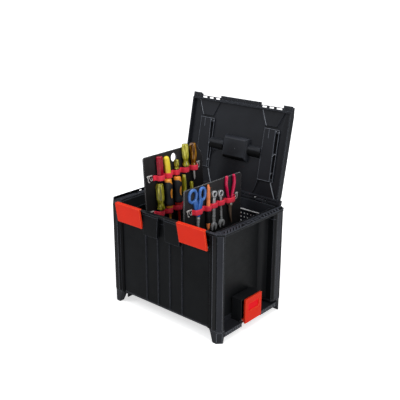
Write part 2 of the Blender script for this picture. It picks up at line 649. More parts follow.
DRIVERS = [
    # node, y, r, top, bottom, tip, profile, shape, material, shaft, lean
    ("red", -85.8, 10.7, 485, 417, 410, PLAIN, facets(6, 1.0, 0.05, 0.95), "dark_red_grip", 3.0, 0),
    ("yellow", -53, 10.4, 480, 416, 414, SLENDER, facets(4, 0.25, 0.1, 0.9), "yellow_grip", 2.6, 4.0),
    ("small_olive", -12.1, 7.8, 461, 430.6, 412, ACETATE, fluted(6, 0.16, 0.1, 0.62), "olive_acetate", 2.2, 0),
    ("lime", 26.4, 10.7, 502, 430.6, 411, ACETATE, fluted(6, 0.17, 0.06, 0.64), "lime_acetate", 3.0, 0),
    ("amber", 62.2, 10.7, 498, 416, 381, ACETATE, fluted(6, 0.17, 0.06, 0.64), "amber_acetate", 3.0, 0),
    ("olive", -93.5, 11.9, 405.5, 322.6, 258, ACETATE, fluted(6, 0.16, 0.06, 0.64), "olive_acetate", 3.0, 0),
    ("short_lime", 18, 6.9, 408, 309, 270, ACETATE, fluted(6, 0.16, 0.06, 0.62), "lime_acetate", 2.2, 0),
    ("precision", 52.5, 5.7, 378, 309, 275, ACETATE, fluted(8, 0.12, 0.06, 0.62), "lime_acetate", 1.8, 0),
]
for nm, y, r, top, bottom, tip, prof, shape, mat, shaft, lean in DRIVERS:
    about = bottom - RIM
    h = seat(handle(prof, r, top - RIM, bottom - RIM, shape), y, r, lean, about, 17)
    slot = {"dark_red_grip": "dark_red_grip", "yellow_grip": "yellow_grip"}.get(mat, mat)
    finish_piece(f"driver_{nm}_handle", h, mat, "left_board", slot, smooth=45, stands=(f"screwdriver_{nm}",))
    s = seat(blade(shaft, bottom - RIM + (0.35 * (top - bottom) if "acetate" in mat else 2), tip - RIM, nm not in ("lime", "short_lime")), y, r, lean, about, 50)
    finish_piece(f"driver_{nm}_blade", s, "plated_steel", "left_board", "plated_steel", smooth=40)
    ferrule = seat(lathe([(0, bottom - RIM + 1.4), (shaft + 1.1, bottom - RIM + 1.4), (shaft + 1.2, bottom - RIM - 0.8), (shaft + 0.8, bottom - RIM - 1.6), (0, bottom - RIM - 1.6)], 20), y, r, lean, about)
    finish_piece(f"driver_{nm}_ferrule", ferrule, "chrome_steel", "left_board", "chrome_steel", smooth=40)

for nm, y, top, bottom, tip, low in (("insulated_front", -58.5, 412.5, 322.6, 262, "grip_orange"), ("insulated_rear", -18, 410, 322.6, 256, "grip_red")):
    r = 12.9
    L = top - bottom

    def window(a, t):
        """1 where the harder inner plastic shows: cap, collar and one panel on each side."""
        cap = t < 0.10 + 0.055 * max(0.0, math.cos(a - 0.9)) ** 2 * 2
        collar = t > 0.905
        side = any(((math.remainder(a - c, 2 * math.pi)) / 0.50) ** 2 + ((t - 0.50) / 0.17) ** 2 < 1 for c in (0.25, 0.25 + math.pi))
        return cap or collar or side

    def shape(a, t, q):
        lobes = 1 - 0.05 * max(0.0, min(1.0, (t - 0.12) / 0.1, (0.88 - t) / 0.1)) * max(0, math.cos(3 * a)) ** 2
        return q * lobes - (0.55 if window(a, t) else 0.0)

    prof = smooth_profile([(a * r, top - RIM - t * L) for a, t in PADDED[1:-1]], 7)
    prof = [(0.0, prof[0][1])] + prof + [(0.0, prof[-1][1])]
    g = lathe(prof, 96, shape)
    for f in g.faces:
        c = f.calc_center_median()
        t = (top - RIM - c.z) / L
        a = math.atan2(c.y, c.x)
        f.material_index = (2 if t > 0.88 else 1) if window(a % (2 * math.pi), t) else 0
    seat(g, y, r)
    finish_piece(f"driver_{nm}_handle", g, ["insulated_grip", "grip_orange", low], "left_board", "insulated_grip", smooth=60, stands=(f"screwdriver_{nm}",))
    finish_piece(f"driver_{nm}_sleeve", seat(lathe([(0, bottom - RIM + 1), (4.0, bottom - RIM + 1), (4.0, bottom - RIM - 2), (3.7, bottom - RIM - 3), (3.7, tip - RIM + 14), (3.3, tip - RIM + 12.6), (0, tip - RIM + 12.6)], 24), y, r),
                 low, "left_board", "insulated_grip", smooth=40)
    finish_piece(f"driver_{nm}_blade", seat(blade(3.0, tip - RIM + 20, tip - RIM), y, r, turn=50), "plated_steel", "left_board", "plated_steel", smooth=40)


# ------------------------------------------------------------------ elastic straps, stitching and buckles
UPPER = [(-85.8, 10.9), (-53, 10.6), (-12.1, 9.5, 13.8), (26.4, 11.5, 17.6), (62.2, 10.9)]
LOWER = [(-93.5, 12.5, 18.8), (-58.5, 12.5, 20.6), (-18, 12.5, 20.6), (18, 7.1), (52.5, 5.9)]
BASE = FACE + 0.4 + 0.7


def loops(tools, y0, y1):
    """Path of a strap that lies on the board and loops over each tool."""
    pts = [(BASE, y0)]
    for y, r, *high in tools:
        if high:                   # the loop holds the blade and the handle stands on it
            pts += [(BASE, y - r - 1.2), (BASE + 0.4, y - r - 0.2)]
            pts += [(BASE + 1.2 + (high[0] - 1.2) * abs(math.sin(math.pi * k / 10)) ** 0.55, y - r * math.cos(math.pi * k / 10)) for k in range(11)]
            pts += [(BASE + 0.4, y + r + 0.2), (BASE, y + r + 1.2)]
            continue
        c, R = FACE + 0.5 + r, r + 1.0
        pts += [(BASE, y - R - 1.6), (BASE + 0.5, y - R - 0.4), (BASE + 1.8, y - R)]
        pts += [(c + R * math.sin(a) if a > -1.2 else c, y + R * -math.cos(a)) for a in [math.radians(k) for k in range(0, 181, 15)]]
        pts += [(BASE + 1.8, y + R), (BASE + 0.5, y + R + 0.4), (BASE, y + R + 1.6)]
    pts.append((BASE, y1))
    return pts


def stitches(marks, z, x=BASE + 0.72, half=6.2):
    """Bar tacks: rows of short threads across the band at each mark."""
    out = []
    for y in marks:
        for k in range(7):
            zz = z - half + k * 2 * half / 6
            out.append(capsule((x, y - 0.75, zz - 0.5), (x, y + 0.75, zz + 0.5), 0.2, 6))
    return merge(*out)


def tacks(marks, z):
    """Narrow black strips that pin the band to the board between two loops."""
    return merge(*[block(FACE - 0.2, BASE + 1.5, y - 1.1, y + 1.1, z - 8.4, z + 8.4, 0.5, 2) for y in marks])


def strap_piece(name, tools, y0, y1, z, node_name, body):
    finish_piece(name, band(loops(tools, y0, y1), 16.0, 1.3, z), "strap_webbing", body, "strap_webbing", smooth=60, stands=(node_name,))
    marks = [y0 + 2.4] + [(a[0] + a[1] + 1 + b[0] - b[1] - 1) / 2 for a, b in zip(tools, tools[1:])] + [y1 - 2.4]
    finish_piece(name + "_stitching", stitches(marks, z), "thread", body, "strap_webbing", smooth=60)
    finish_piece(name + "_rivet_strips", tacks(marks[1:-1], z), "black_grip", body, "board_plastic", smooth=30)


strap_piece("webbing_left_upper", UPPER, -107, 86, UP_Z, "strap_left_upper", "left_board")
strap_piece("webbing_left_lower", LOWER, -113, 78, LOW_Z, "strap_left_lower", "left_board")


def flat_loops(tools, y0, y1):
    pts = [(BASE, y0)]
    for y, w, h in tools:
        n = 10
        pts += [(BASE, y - w - 1.2), (BASE + 0.4, y - w - 0.2)]
        for k in range(n + 1):
            a = math.pi * (1 - k / n)
            pts.append((BASE + 1.2 + (h - 1.2) * abs(math.sin(a)) ** 0.55, y + w * math.cos(a)))
        pts += [(BASE + 0.4, y + w + 0.2), (BASE, y + w + 1.2)]
    pts.append((BASE, y1))
    return pts


RIGHT_STRAP = [(-89, 16, 13.5), (-46.5, 9.5, 15.3), (-16.5, 13.5, 10), (17, 13.5, 10), (57, 18.5, 15)]
finish_piece("webbing_right", band(flat_loops(RIGHT_STRAP, -109.5, 84), 16.0, 1.3, R_Z), "strap_webbing", "right_board", "strap_webbing", smooth=60, stands=("strap_right",))
finish_piece("webbing_right_stitching", stitches([-107.8, -67, -34, 0.3, 34, 81.6], R_Z), "thread", "right_board", "strap_webbing", smooth=60)
finish_piece("webbing_right_rivet_strips", tacks([-67, -34, 0.3, 34], R_Z), "black_grip", "right_board", "board_plastic", smooth=30)


def buckle(y, z, mirror=1):
    """A pressed steel end clip: a folded top bar, two wires down and a hook, held by a rivet."""
    x = FACE + 1.4
    lo, hi = (max(y - 9.0, -133.9), y + 13.0) if mirror > 0 else (y - 7.0, y + 7.0)
    out = [block(FACE + 0.9, FACE + 3.0, lo, hi, z + 8.0, z + 12, 0.7, 2),
           sweep(spline([(x, y - 4.4 * mirror, z + 8), (x + 0.9, y - 4.6 * mirror, z + 2), (x + 0.4, y - 3.6 * mirror, z - 5), (x, y - 1.6 * mirror, z - 8.5)], 5), ellipse(1.0, 1.0, 8)),
           sweep(spline([(x, y + 0.4 * mirror, z + 8), (x + 0.6, y + 2.2 * mirror, z + 3.5), (x + 0.5, y + 5.6 * mirror, z - 1.5), (x, y + 8.6 * mirror, z - 5.5), (x, y + 11.6 * mirror, z - 4.5)], 5), ellipse(1.1, 1.1, 8)),
           sweep(spline([(x, y + 11.4 * mirror, z + 3.5), (x + 0.6, y + 12.2 * mirror, z - 1.0), (x + 0.4, y + 12.4 * mirror, z - 6.0)], 5), ellipse(1.0, 1.0, 8)),
           placed(lathe([(0, 1.9), (1.2, 1.7), (2.0, 1.0), (2.3, 0), (0, 0)], 16), Matrix.Translation((FACE + 2.3, y, z + 9.9)) @ Matrix.Rotation(math.radians(90), 4, "Y")),
           placed(lathe([(0, 1.6), (1.4, 1.3), (2.1, 0), (0, 0)], 16), Matrix.Translation((FACE + 0.3, y + 2.2 * mirror, z - 8.4)) @ Matrix.Rotation(math.radians(90), 4, "Y"))]
    return merge(*out)


for nm, y, z, body, k in (("upper_front", -124, UP_Z, "left_board", 1), ("upper_rear", 93, UP_Z, "left_board", -1), ("lower_front", -126, LOW_Z, "left_board", 1), ("lower_rear", 85, LOW_Z, "left_board", -1),
                          ("right_front", -124, R_Z, "right_board", 1), ("right_rear", 92, R_Z, "right_board", -1)):
    finish_piece(f"buckle_{nm}", buckle(y, z, k), "plated_steel", body, "plated_steel", smooth=40, stands=(f"strap_clip_{nm}",))


# ------------------------------------------------------------------ scissors, marker, wrenches and pliers
def scissor(sign, x0, x1):
    y = -89.0
    off, ry = (19.5, 19.0) if sign < 0 else (16.5, 15.3)
    mid = (x0 + x1) / 2
    cy = y + sign * off
    n = 20
    loop = [Vector((mid, cy + (ry - 4.2) * math.copysign(abs(math.cos(a)) ** 0.85, math.cos(a)), 402 + 17.6 * math.copysign(abs(math.sin(a)) ** 0.85, math.sin(a)) - RIM)) for a in [2 * math.pi * k / n for k in range(n)]]
    ring = sweep(loop, ellipse(4.6, 4.2, 12), closed=True, up=(1, 0, 0))
    shank = plate([[(y + sign * 19, 389 - RIM), (y + sign * 10, 392 - RIM), (y + sign * 3.2, 390 - RIM), (y - sign * 7.2, 346 - RIM), (y - sign * 5, 337 - RIM), (y + sign * 4, 337 - RIM), (y + sign * 9.6, 352 - RIM)]], mid - 3.6, mid + 3.6, "YZ", 1.6, 3)
    steel = plate([[(y - sign * 6.6, 342 - RIM), (y - sign * 6.2, 334 - RIM), (y - sign * 1.2, 286 - RIM), (y + sign * 0.4, 287 - RIM), (y + sign * 5.2, 330 - RIM), (y + sign * 6.6, 341 - RIM)]], mid - 1.1, mid + 1.1, "YZ", 0.4, 1)
    return merge(ring, shank), steel


for sign, nm, x0, x1 in ((-1, "front", FACE + 0.6, FACE + 4.4), (1, "rear", FACE + 4.8, FACE + 8.6)):
    grip, steel = scissor(sign, x0 + (0.6 if sign < 0 else 1.0), x1 + (0.6 if sign < 0 else 1.0))
    finish_piece(f"scissor_handle_{nm}", grip, "blue_grip", "right_board", "blue_grip", smooth=50, stands=(f"scissors_{nm}_half",))
    finish_piece(f"scissor_blade_{nm}", steel, "chrome_steel", "right_board", "chrome_steel", smooth=30)
screw = merge(lathe([(0, 1.4), (2.6, 1.3), (3.9, 0.6), (4.2, 0), (4.2, -2.4), (0, -2.4)], 28), block(-3.2, 3.2, -0.45, 0.45, 1.0, 1.5, 0.1, 1))
finish_piece("scissor_screw", placed(screw, Matrix.Translation((FACE + 9.6, -89, 332 - RIM)) @ Matrix.Rotation(math.radians(90), 4, "Y")), "plated_steel", "right_board", "plated_steel", smooth=40, stands=("scissors_screw",))

mk = lathe([(0, 423), (1.8, 423), (2.7, 422.4), (3.4, 420), (4.3, 412), (5.0, 400), (5.5, 385), (5.6, 379.4), (5.45, 378.8), (5.45, 378.2), (5.8, 377.4), (6.05, 345.4)], 36)
mk2 = lathe([(6.05, 345.4), (6.2, 344.8), (6.2, 309), (5.9, 307.8), (5.7, 306.6)], 36)
mk3 = lathe([(5.7, 306.6), (5.6, 300), (5.2, 294), (4.2, 289), (3.0, 286), (2.0, 285.2), (0, 285)], 36)
fins = [placed(block(4.9, 5.9, -0.5, 0.5, 381, 398, 0.3, 1), Matrix.Rotation(2 * math.pi * k / 8, 4, "Z")) for k in range(8)]
body_mk = merge(painted(mk, 0), painted(mk2, 1), painted(mk3, 0), *[painted(f, 0) for f in fins], painted(block(2.6, 6.0, -1.2, 1.2, 392, 416, 0.5, 2), 0))
finish_piece("marker_barrel", moved(body_mk, FACE + 7.6, -46.5, -RIM), ["orange_barrel", "black_grip"], "right_board", "orange_barrel", smooth=40, stands=("marker",))


def arc(cy, cz, ry, rz, a0, a1, n):
    return [(cy + ry * math.cos(math.radians(a0 + (a1 - a0) * k / n)), cz + rz * math.sin(math.radians(a0 + (a1 - a0) * k / n))) for k in range(n + 1)]


def wrench(y, top, bottom, lean, half=3.9):
    ring = plate([arc(y, top, 11, 11, 0, 345, 23), arc(y, top, 6.2, 6.2, 0, 330, 11)], FACE + 0.8, FACE + 7.8, "YZ", 1.1, 2)
    shank = plate([[(y - 5.2, top - 9), (y - half, top - 22), (y - half, bottom + 22), (y - half - 1.7, bottom + 10), (y + half + 1.7, bottom + 10), (y + half, bottom + 22), (y + half, top - 22), (y + 5.2, top - 9)]], FACE + 2, FACE + 6.5, "YZ", 1.3, 3)
    pad = plate([[(y - half + 1.8, top - 26), (y - half + 1.8, bottom + 26), (y + half - 1.8, bottom + 26), (y + half - 1.8, top - 26)]], FACE + 6.2, FACE + 6.9, "YZ", 0.3, 2)
    head = plate([arc(y, bottom, 12.6, 13.6, -62, 238, 26) + [(y - 5.2, bottom - 7.5), (y - 5.4, bottom - 2), (y - 2.6, bottom + 2.4), (y + 2.2, bottom + 3), (y + 5.2, bottom - 1), (y + 4.6, bottom - 7.5)]], FACE + 1.2, FACE + 7.4, "YZ", 1.0, 2)
    c = Vector((0, y, (top + bottom) / 2))
    bm = merge(ring, shank, pad, head)
    return moved(placed(bm, Matrix.Translation(c) @ Matrix.Rotation(math.radians(lean), 4, "X") @ Matrix.Translation(-c)), z=-RIM)


finish_piece("spanner_front", wrench(-16.5, 386, 286, 0, 5.6), "chrome_steel", "right_board", "chrome_steel", smooth=40, stands=("wrench_front",))
finish_piece("spanner_rear", wrench(16.5, 381, 286, 4, 3.2), "chrome_steel", "right_board", "chrome_steel", smooth=40, stands=("wrench_rear",))


def plier(sign, lo, hi):
    y, mid = 55.0, (lo + hi) / 2
    path = spline([(mid, y + sign * 14.6, 426 - RIM), (mid, y + sign * 17.0, 414 - RIM), (mid, y + sign * 17.0, 400 - RIM), (mid, y + sign * 13.6, 385 - RIM), (mid, y + sign * 9.6, 371 - RIM), (mid, y + sign * 6.6, 358 - RIM)], 6)
    grip = sweep(path, ellipse(5.0, 4.5, 14), scale=lambda t: 0.92 + 0.16 * math.sin(math.pi * min(1, t * 1.2)))
    steel = plate([[(y + sign * 9.4, 358 - RIM), (y + sign * 9.6, 338 - RIM), (y + 2 - sign * 3, 326 - RIM), (y + 6.5 - sign * 1.0, 280 - RIM), (y + 7.0 - sign * 3.5, 279 - RIM), (y + 1 - sign * 9.5, 322 - RIM), (y - sign * 9, 338 - RIM), (y + sign * 1.5, 352 - RIM), (y + sign * 3.2, 358 - RIM)]], lo + 0.6, hi - 0.4, "YZ", 0.8, 2)
    return grip, steel


for sign, nm, lo, hi in ((-1, "front", FACE + 0.8, FACE + 6.4), (1, "rear", FACE + 6.8, FACE + 12.4)):
    grip, steel = plier(sign, lo, hi)
    if sign < 0:
        moved(grip, x=1.6)
    else:
        moved(grip, x=-1.6)
    finish_piece(f"plier_grip_{nm}", grip, "magenta_grip", "right_board", "magenta_grip", smooth=60, stands=(f"pliers_{nm}_half",))
    finish_piece(f"plier_jaw_{nm}", steel, "jaw_steel", "right_board", "plated_steel", smooth=30)
rivet = lathe([(0, 1.2), (2.6, 1.0), (4.2, 0.3), (4.6, -0.6), (0, -0.6)], 28)
finish_piece("plier_rivet", placed(rivet, Matrix.Translation((FACE + 12.4, 55, 340 - RIM)) @ Matrix.Rotation(math.radians(90), 4, "Y")), "plated_steel", "right_board", "plated_steel", smooth=40)


# ------------------------------------------------------------------ lid: inner mouldings in the lid's own frame
def sym(fn, name, *args, **kw):
    """The same piece on both sides of the lid or case."""
    for side, nm in ((1, "right"), (-1, "left")):
        bm = fn()
        if side < 0:
            mirrored(bm)
        finish_piece(f"{name}_{nm}", bm, *args, **kw)


ZP = -10.2                        # just behind the lid's inner surface
outer = lambda e: min(v.co.z for v in e.verts) > -9.9 or True


def centre_panel():
    """The raised middle of the lid, with a cross-shaped opening for the handle well and its trough."""
    return plate([[(-89, 13.0), (89, 13.0), (99.5, 60), (99.5, 222), (78, 273.4), (-78, 273.4), (-92, 240), (-92, 212), (-95, 160), (-99.5, 90), (-99.5, 60)],
                  [(-98, 122.5), (-98, 154.5), (-42, 154.5), (-42, 177.5), (54, 177.5), (54, 154.5), (98, 154.5), (98, 122.5), (54, 122.5), (54, 103.5), (-42, 103.5), (-42, 122.5)]], ZP, -8.0, "XY", 0.9, 2)


finish_piece("lid_centre_panel", centre_panel(), "lid_plastic", "lid", "black_plastic")
finish_piece("lid_side_panel_right", plate([[(159, 60), (182, 13.0), (186.6, 13.0), (186.6, 273.4), (169, 273.4), (157.6, 221)]], ZP, -8.0, "XY", 0.9, 2), "lid_plastic", "lid", "black_plastic")
finish_piece("lid_side_panel_left", mirrored(plate([[(153, 60), (179, 13.0), (186.6, 13.0), (186.6, 273.4), (171, 273.4), (152, 221)]], ZP, -8.0, "XY", 0.9, 2)), "lid_plastic", "lid", "black_plastic")


def trapezoid():
    bm = plate([[(80.5, 273.4), (101.5, 225.5), (144.5, 225.5), (166.5, 273.4)]], ZP, -4.6, "XY", 0, 1)
    for v in bm.verts:             # drafted sides, and a face that sinks towards the lid's edge
        if v.co.z > -6:
            v.co.z = -4.6 if v.co.y < 250 else -6.0
            v.co.x += 3.4 if v.co.x < 120 else -3.0
            if v.co.y < 250:
                v.co.y += 1.5
    return round_edges(bm, 0.7, 2)


sym(trapezoid, "lid_corner_moulding", "lid_plastic", "lid", "black_plastic")


def channel(slot0, slot1, wall0, wall1, near, far, top=218.6):
    """A raised strip with a deep tapered slot along one edge, its two walls, cross ties and small hooks."""
    n, f = sorted((near, far))
    up = dict(up=(0, 0, 1), domed=False)
    inner = lambda h: slot1 + (slot0 - slot1) * (h - 61) / (top - 61)
    outer_ = lambda h: wall1 + (wall0 - wall1) * (h - 61) / (top - 61)
    strip = plate([[(near, 61), (inner(61) - 1.6, 61), (inner(top) - 1.6, top), (near, top)]], -9.9, -4.4, "XY", 0.9, 2)
    wall_in = plate([[(inner(61) - 0.9, 61.4), (inner(61) + 1.1, 61.4), (inner(top) + 1.1, top - 0.6), (inner(top) - 0.9, top - 0.6)]], -9.9, -3.5, "XY", 0.5, 2)
    wall_out = plate([[(outer_(61) - 1.0, 61.4), (outer_(61) + 1.2, 61.4), (outer_(top) + 1.2, top - 0.6), (outer_(top) - 1.0, top - 0.6)]], -9.9, -3.6, "XY", 0.5, 2)
    pit = plate([[(inner(61), 61.8), (outer_(61), 61.8), (outer_(top), top - 1), (inner(top), top - 1)]], -9.9, -9.2, "XY", 0, 1)
    dark = [pit, block(near + 1, inner(top) - 2, 58.4, 61.4, -9.8, -6.0, 0.6, 2)]
    tabs = [block(inner(h) - 0.4, outer_(h) - 1.0, h - 1.8, h + 1.8, -8.4, -4.6, 0.7, 2) for h in (209, 146, 88, 68)]
    bead = lambda pts, r: sweep([Vector(pts[0]), (Vector(pts[0]) + Vector(pts[1])) / 2, Vector(pts[1])], ellipse(r, r, 8), **up)
    edge = [bead([(near, top, -4.3), (outer_(top), top - 0.4, -3.5)], 0.75),
            bead([(near, 61.2, -4.5), (outer_(61), 61.2, -3.7)], 0.5),
            bead([(near + 0.2, top, -4.6), (near + 0.2, 62, -4.6)], 0.35),
            bead([(inner(top) + 0.2, top - 1, -3.5), (inner(62) + 0.2, 62, -3.5)], 0.55),
            bead([(outer_(top), top - 1, -3.6), (outer_(62), 62, -3.6)], 0.5),
            bead([(near + 17.5, top, -4.2), (near + 18.3, 190, -4.3)], 0.55)]
    glint = [bead([(inner(139), 137, -3.0), (inner(141) + 4.4, 143.5, -3.0)], 0.9), bead([(inner(143) + 4.6, 143.5, -3.0), (outer_(146) - 0.6, 146.5, -3.0)], 0.8),
             bead([(inner(86), 84, -3.0), (inner(88) + 4.4, 87, -3.0)], 0.8), bead([(outer_(214), 214, -3.2), (outer_(214), 210, -3.2)], 0.9), bead([(inner(214) + 3, 214.5, -3.3), (inner(214) + 6, 212.5, -3.3)], 0.8)]
    return merge(*[painted(b, 0) for b in (strip, wall_in, wall_out, *tabs)], *[painted(b, 1) for b in edge], *[painted(b, 2) for b in dark], *[painted(b, 3) for b in glint])


RAIL_MATS = ["lid_plastic", "edge_plastic", "shade_plastic", "bright_edge"]
finish_piece("lid_rail_right", channel(141.5, 145.8, 155.0, 157.0, 100.6, 0), RAIL_MATS, "lid", "black_plastic")
finish_piece("lid_rail_left", channel(-110.6, -101.6, -96.4, -95.2, -151.4, 0), RAIL_MATS, "lid", "black_plastic")
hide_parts("lid_channel_right")
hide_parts("lid_channel_left")


def flare(pts, r):
    return sweep([Vector(p) for p in pts], ellipse(r, r * 0.9, 8), up=(0, 0, 1))


def stroke(name, pts, r, mat):
    finish_piece(name, flare(pts, r), mat, "lid", "black_plastic")


# light beads on the sides of the pockets that catch the light, thin shadow grooves on the others
stroke("lid_flare_bead_right", [(149.4, 57, -7.4), (160.5, 33, -7.4), (171.8, 12, -7.0)], 1.7, "bright_edge")
stroke("lid_flare_bead_left", [(-97.4, 57, -7.6), (-90.5, 38, -7.6), (-79.5, 14, -7.6)], 1.5, "bright_edge")
stroke("lid_flare_groove_right", [(105.0, 57, -7.9), (99, 40, -7.9), (88, 13, -7.9)], 0.9, "shade_plastic")
stroke("lid_flare_groove_left", [(-151.0, 57, -7.9), (-158, 44, -7.9), (-176, 14, -7.9)], 0.9, "shade_plastic")
stroke("lid_pocket_bead_right", [(83.6, 272.6, -5.6), (95, 247, -5.0), (105.6, 226.4, -4.2)], 0.8, "bright_edge")
stroke("lid_pocket_bead_left", [(-164.6, 272.6, -5.6), (-154.5, 249, -5.0), (-143.6, 226.4, -4.2)], 0.7, "bright_edge")
finish_piece("lid_pocket_land_right", plate([[(76.5, 272.8), (97.5, 227), (102.0, 227), (81.5, 272.8)]], -8.4, -7.3, "XY", 0.4, 2), "facet_plastic", "lid", "black_plastic")


def trough():
    """Half tube that houses the folded handle, ribbed at its inner end."""
    n = 22
    bm = bmesh.new()
    rows = []
    for x, r in ((45, 13.8), (46, 14.3), (47.5, 14.3), (48.5, 13.7), (96.4, 13.7), (98.4, 13.2), (99.4, 12.0)):
        rows.append([bm.verts.new((x, 138 + r * math.cos(math.pi * k / n), -10.4 + r * math.sin(math.pi * k / n))) for k in range(n + 1)])
    for a, b in zip(rows, rows[1:]):
        for k in range(n):
            bm.faces.new((a[k], a[k + 1], b[k + 1], b[k]))
    end = bm.verts.new((99.7, 138, -10.4))
    for k in range(n):
        bm.faces.new((rows[-1][k], rows[-1][k + 1], end))
    bmesh.ops.recalc_face_normals(bm, faces=bm.faces)
    bmesh.ops.solidify(bm, geom=bm.faces[:], thickness=0.9)
    bead = sweep([Vector((46, 149.6, -2.4)), Vector((70, 149.6, -2.4)), Vector((98, 149.6, -2.6))], ellipse(0.8, 0.8, 8), up=(0, 0, 1), domed=False)
    return merge(painted(bm, 0), painted(bead, 1))


sym(trough, "lid_trough_cover", ["shade_plastic", "edge_plastic"], "lid", "black_plastic", smooth=40)


def well():
    """The block over the folded handle: a broad rounded slope on its upper side, drafted ends and a dark slope below."""
    ring = lambda x, h0, h1, z: [(6 - x, h0, z), (6 + x, h0, z), (6 + x, h1, z), (6 - x, h1, z)]
    rows = [ring(47.2, 104.5, 176.6, -9.8), ring(46.8, 105.2, 176.0, -0.5), ring(45.8, 107.4, 174.2, 3.6), ring(44.2, 110.6, 171.6, 6.8), ring(42.6, 113.2, 169.2, 8.3), ring(41.4, 115.0, 167.2, 8.7)]
    bm = bmesh.new()
    vs = [[bm.verts.new(p) for p in r] for r in rows]
    for a, b in zip(vs, vs[1:]):
        for k in range(4):
            f = bm.faces.new((a[k], a[(k + 1) % 4], b[(k + 1) % 4], b[k]))
            f.material_index = (1, 0, 2, 0)[k]
    bm.faces.new(vs[-1])
    bmesh.ops.recalc_face_normals(bm, faces=bm.faces)
    post = [e for e in bm.edges if len(e.link_faces) == 2 and abs(e.verts[0].co.z - e.verts[1].co.z) > 0.2]
    bmesh.ops.bevel(bm, geom=post, offset=2.2, offset_type="OFFSET", segments=3, profile=0.5, affect="EDGES", clamp_overlap=True)
    bmesh.ops.recalc_face_normals(bm, faces=bm.faces)
    bmesh.ops.solidify(bm, geom=bm.faces[:], thickness=2.2)
    return bm


finish_piece("handle_well_cover", well(), ["lid_plastic", "shade_plastic", "facet_plastic"], "lid", "black_plastic", smooth=40, stands=("handle_well",))
finish_piece("handle_well_gate_mark", placed(lathe([(0, 0.5), (0.8, 0.45), (1.2, 0), (0, 0)], 16), Matrix.Translation((9, 139, 8.6))), "edge_plastic", "lid", "black_plastic")


def lid_edge_beads():
    """Thin beads along the rim of the lid, on the side walls and under the slotted bar."""
    out = [block(187.6, 190.2, 12, 272, 1.6, 3.2, 0.6, 2), block(160.8, 190.2, 273.6, 276.2, 0.2, 1.6, 0.5, 2), block(162, 189.5, 289.5, 292.5, 0.2, 1.5, 0.5, 2),
           block(163, 165.4, 276, 290, 0.2, 1.4, 0.4, 1), block(185, 187.4, 276, 290, 0.2, 1.4, 0.4, 1), block(176, 182, 279, 287, 0.1, 1.1, 0.5, 2)]
    return merge(*out)


sym(lid_edge_beads, "lid_edge_bead", "black_plastic", "lid", "black_plastic")


def latch_ledge():
    """Small catches and ribs on the middle strip of the lid's front edge."""
    out = [block(-72, 72, 290.4, 292.4, 0.2, 1.5, 0.4, 1), block(-72, 72, 279.2, 281.4, 0.2, 1.5, 0.4, 1)]
    for x in (-68, -52, -36, -20, 12, 28, 44, 60):
        out.append(block(x, x + 9, 283.4, 288.2, 0.1, 1.7, 0.5, 2))
    for x in (-72, 70.6):
        out.append(block(x, x + 1.4, 279.6, 292, 0.2, 1.5, 0.3, 1))
    return merge(*out)


finish_piece("lid_front_catches", latch_ledge(), "black_plastic", "lid", "black_plastic")


def grip_bar():
    path = spline([(-92, 119, -19.5), (-92, 132, -19.5), (-92, 140.5, -19.3), (-90.5, 144.8, -15.5), (-86, 146, -9.2), (-78, 146, -9), (-60, 146, -9), (0, 146, -9), (60, 146, -9), (78, 146, -9), (86, 146, -9.2), (90.5, 144.8, -15.5), (92, 140.5, -19.3), (92, 132, -19.5), (92, 119, -19.5)], 4)
    bar = sweep(path, ellipse(4.3, 4.3, 14), up=(0, 0, 1), domed=False)
    prof = [(0, 66), (5.0, 66), (6.6, 65.2), (7.3, 63.5)]
    for k in range(-14, 15):
        z = -k * 4.1
        prof += [(7.35, z + 1.6), (6.7, z + 1.1), (6.7, z - 1.1), (7.35, z - 1.6)]
    prof += [(7.3, -63.5), (6.6, -65.2), (5.0, -66), (0, -66)]
    g = placed(lathe(prof, 32), Matrix.Translation((0, 146, -9)) @ Matrix.Rotation(math.radians(90), 4, "Y"))
    eyes = []
    for s in (-1, 1):
        e = lathe([(2.5, 5), (5.0, 5), (5.4, 4.2), (5.4, -4.2), (5.0, -5), (2.5, -5), (2.5, 5)], 28)
        eyes.append(placed(e, Matrix.Translation((s * 92, 116, -19.5)) @ Matrix.Rotation(math.radians(90), 4, "Y")))
    return merge(bar, g, *eyes)


finish_piece("carry_handle_bar", grip_bar(), "black_plastic", "handle", "black_plastic", frame=F_LID, smooth=40, stands=("carry_handle",))


